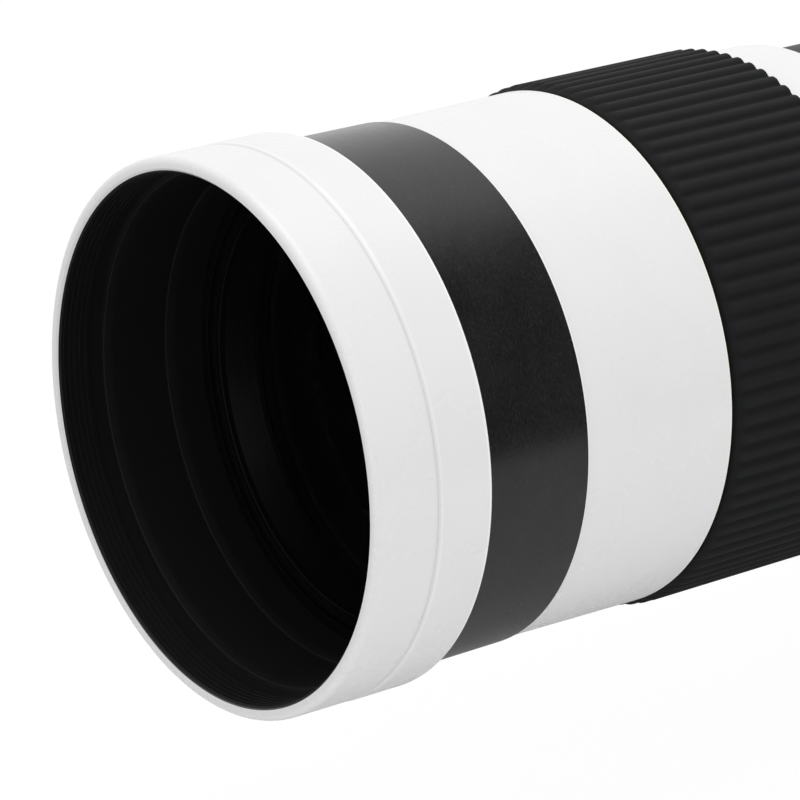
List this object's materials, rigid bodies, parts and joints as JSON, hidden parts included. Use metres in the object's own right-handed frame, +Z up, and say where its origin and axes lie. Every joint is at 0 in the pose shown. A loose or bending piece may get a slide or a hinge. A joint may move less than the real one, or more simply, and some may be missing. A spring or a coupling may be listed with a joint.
{
  "type": "camera zoom lens",
  "caption": "Long white telephoto zoom lens for cameras, with focus and zoom rings, sliding tube, tripod collar with foot, filter thread in front and a screw mount at the rear.",
  "frame": {"origin": "centre of the rear flange face, where the camera adapter seats", "axes": "+Y along the optical axis towards the camera, -Y towards the scene, +Z up, with the tripod foot below"},
  "size_m": [0.0905, 0.248, 0.0947],
  "materials": {
    "white_paint": "satin",
    "black_anodised": "satin",
    "bore_black": "matte",
    "bare_aluminium": "satin",
    "grip_rubber": "matte",
    "optical_glass": "polished",
    "brass": "satin",
    "black_steel": "satin",
    "steel": "satin",
    "felt": "matte",
    "nylon": "matte",
    "black_plastic": "matte",
    "red_enamel": "gloss"
  },
  "bodies": {
    "main_body": {"guide_tube": "bare_aluminium", "main_barrel": "white_paint", "front_bezel": "black_anodised", "tube_felt": "felt", "rear_barrel": "white_paint", "barrel_screws": "black_steel", "t2_mount_ring": "black_anodised", "light_trap": "bore_black", "mount_screws": "black_steel", "zoom_index": "red_enamel"},
    "zoom_drive": {"zoom_ring": "white_paint", "zoom_grip": "grip_rubber", "zoom_cam": "bare_aluminium", "cam_screws": "steel"},
    "sliding_tube": {"zoom_tube": "black_anodised", "helicoid_ring": "brass", "tube_baffle": "bore_black", "zoom_followers": "brass"},
    "front_group": {"front_cell": "bore_black", "front_retainer": "bore_black", "crown_lens": "optical_glass", "lens_spacer": "bore_black", "flint_lens": "optical_glass", "focus_keys": "brass", "key_screws": "steel"},
    "focus_unit": {"filter_ring": "white_paint", "front_collar": "white_paint", "focus_band": "black_anodised", "focus_barrel": "white_paint", "cell_lock_ring": "bore_black", "focus_grip": "grip_rubber", "grip_rear_ring": "white_paint", "barrel_felt": "felt"},
    "variator": {"variator_cell": "bore_black", "variator_concave_lens": "optical_glass", "variator_convex_lens": "optical_glass", "variator_retainer": "bore_black", "variator_followers": "brass"},
    "collar": {"tripod_collar": "white_paint", "collar_liner": "nylon", "tripod_foot": "white_paint", "foot_screws": "black_steel", "tripod_bush": "steel"},
    "lock_knob": {"collar_knob": "black_plastic", "knob_stud": "steel"}
  },
  "joints": [
    {"name": "zoom_turn", "type": "hinge", "parent": "main_body", "child": "zoom_drive", "pos_m": [0, -0.105, 0], "axis": [0, 1, 0], "range_deg": [0, 90]},
    {"name": "zoom_extend", "type": "slide", "parent": "main_body", "child": "sliding_tube", "axis": [0, -1, 0], "range_m": [0, 0.054]},
    {"name": "variator_slide", "type": "slide", "parent": "main_body", "child": "variator", "axis": [0, -1, 0], "range_m": [0, 0.016]},
    {"name": "focus_slide", "type": "slide", "parent": "sliding_tube", "child": "front_group", "axis": [0, -1, 0], "range_m": [0, 0.009]},
    {"name": "focus_turn", "type": "hinge", "parent": "front_group", "child": "focus_unit", "pos_m": [0, -0.202, 0], "axis": [0, 1, 0], "range_deg": [0, 270]},
    {"name": "collar_turn", "type": "hinge", "parent": "main_body", "child": "collar", "pos_m": [0, -0.07, 0], "axis": [0, 1, 0], "continuous": true},
    {"name": "knob_turn", "type": "hinge", "parent": "collar", "child": "lock_knob", "pos_m": [-0.04587, -0.07, 0], "axis": [0, 0, 1], "range_deg": [0, 540]}
  ],
  "couplings": [
    {"joint": "zoom_turn", "follows": "zoom_extend", "rad_per_m": 29.089},
    {"joint": "variator_slide", "follows": "zoom_extend", "ratio": 0.2963},
    {"joint": "focus_turn", "follows": "focus_slide", "rad_per_m": 523.59}
  ]
}
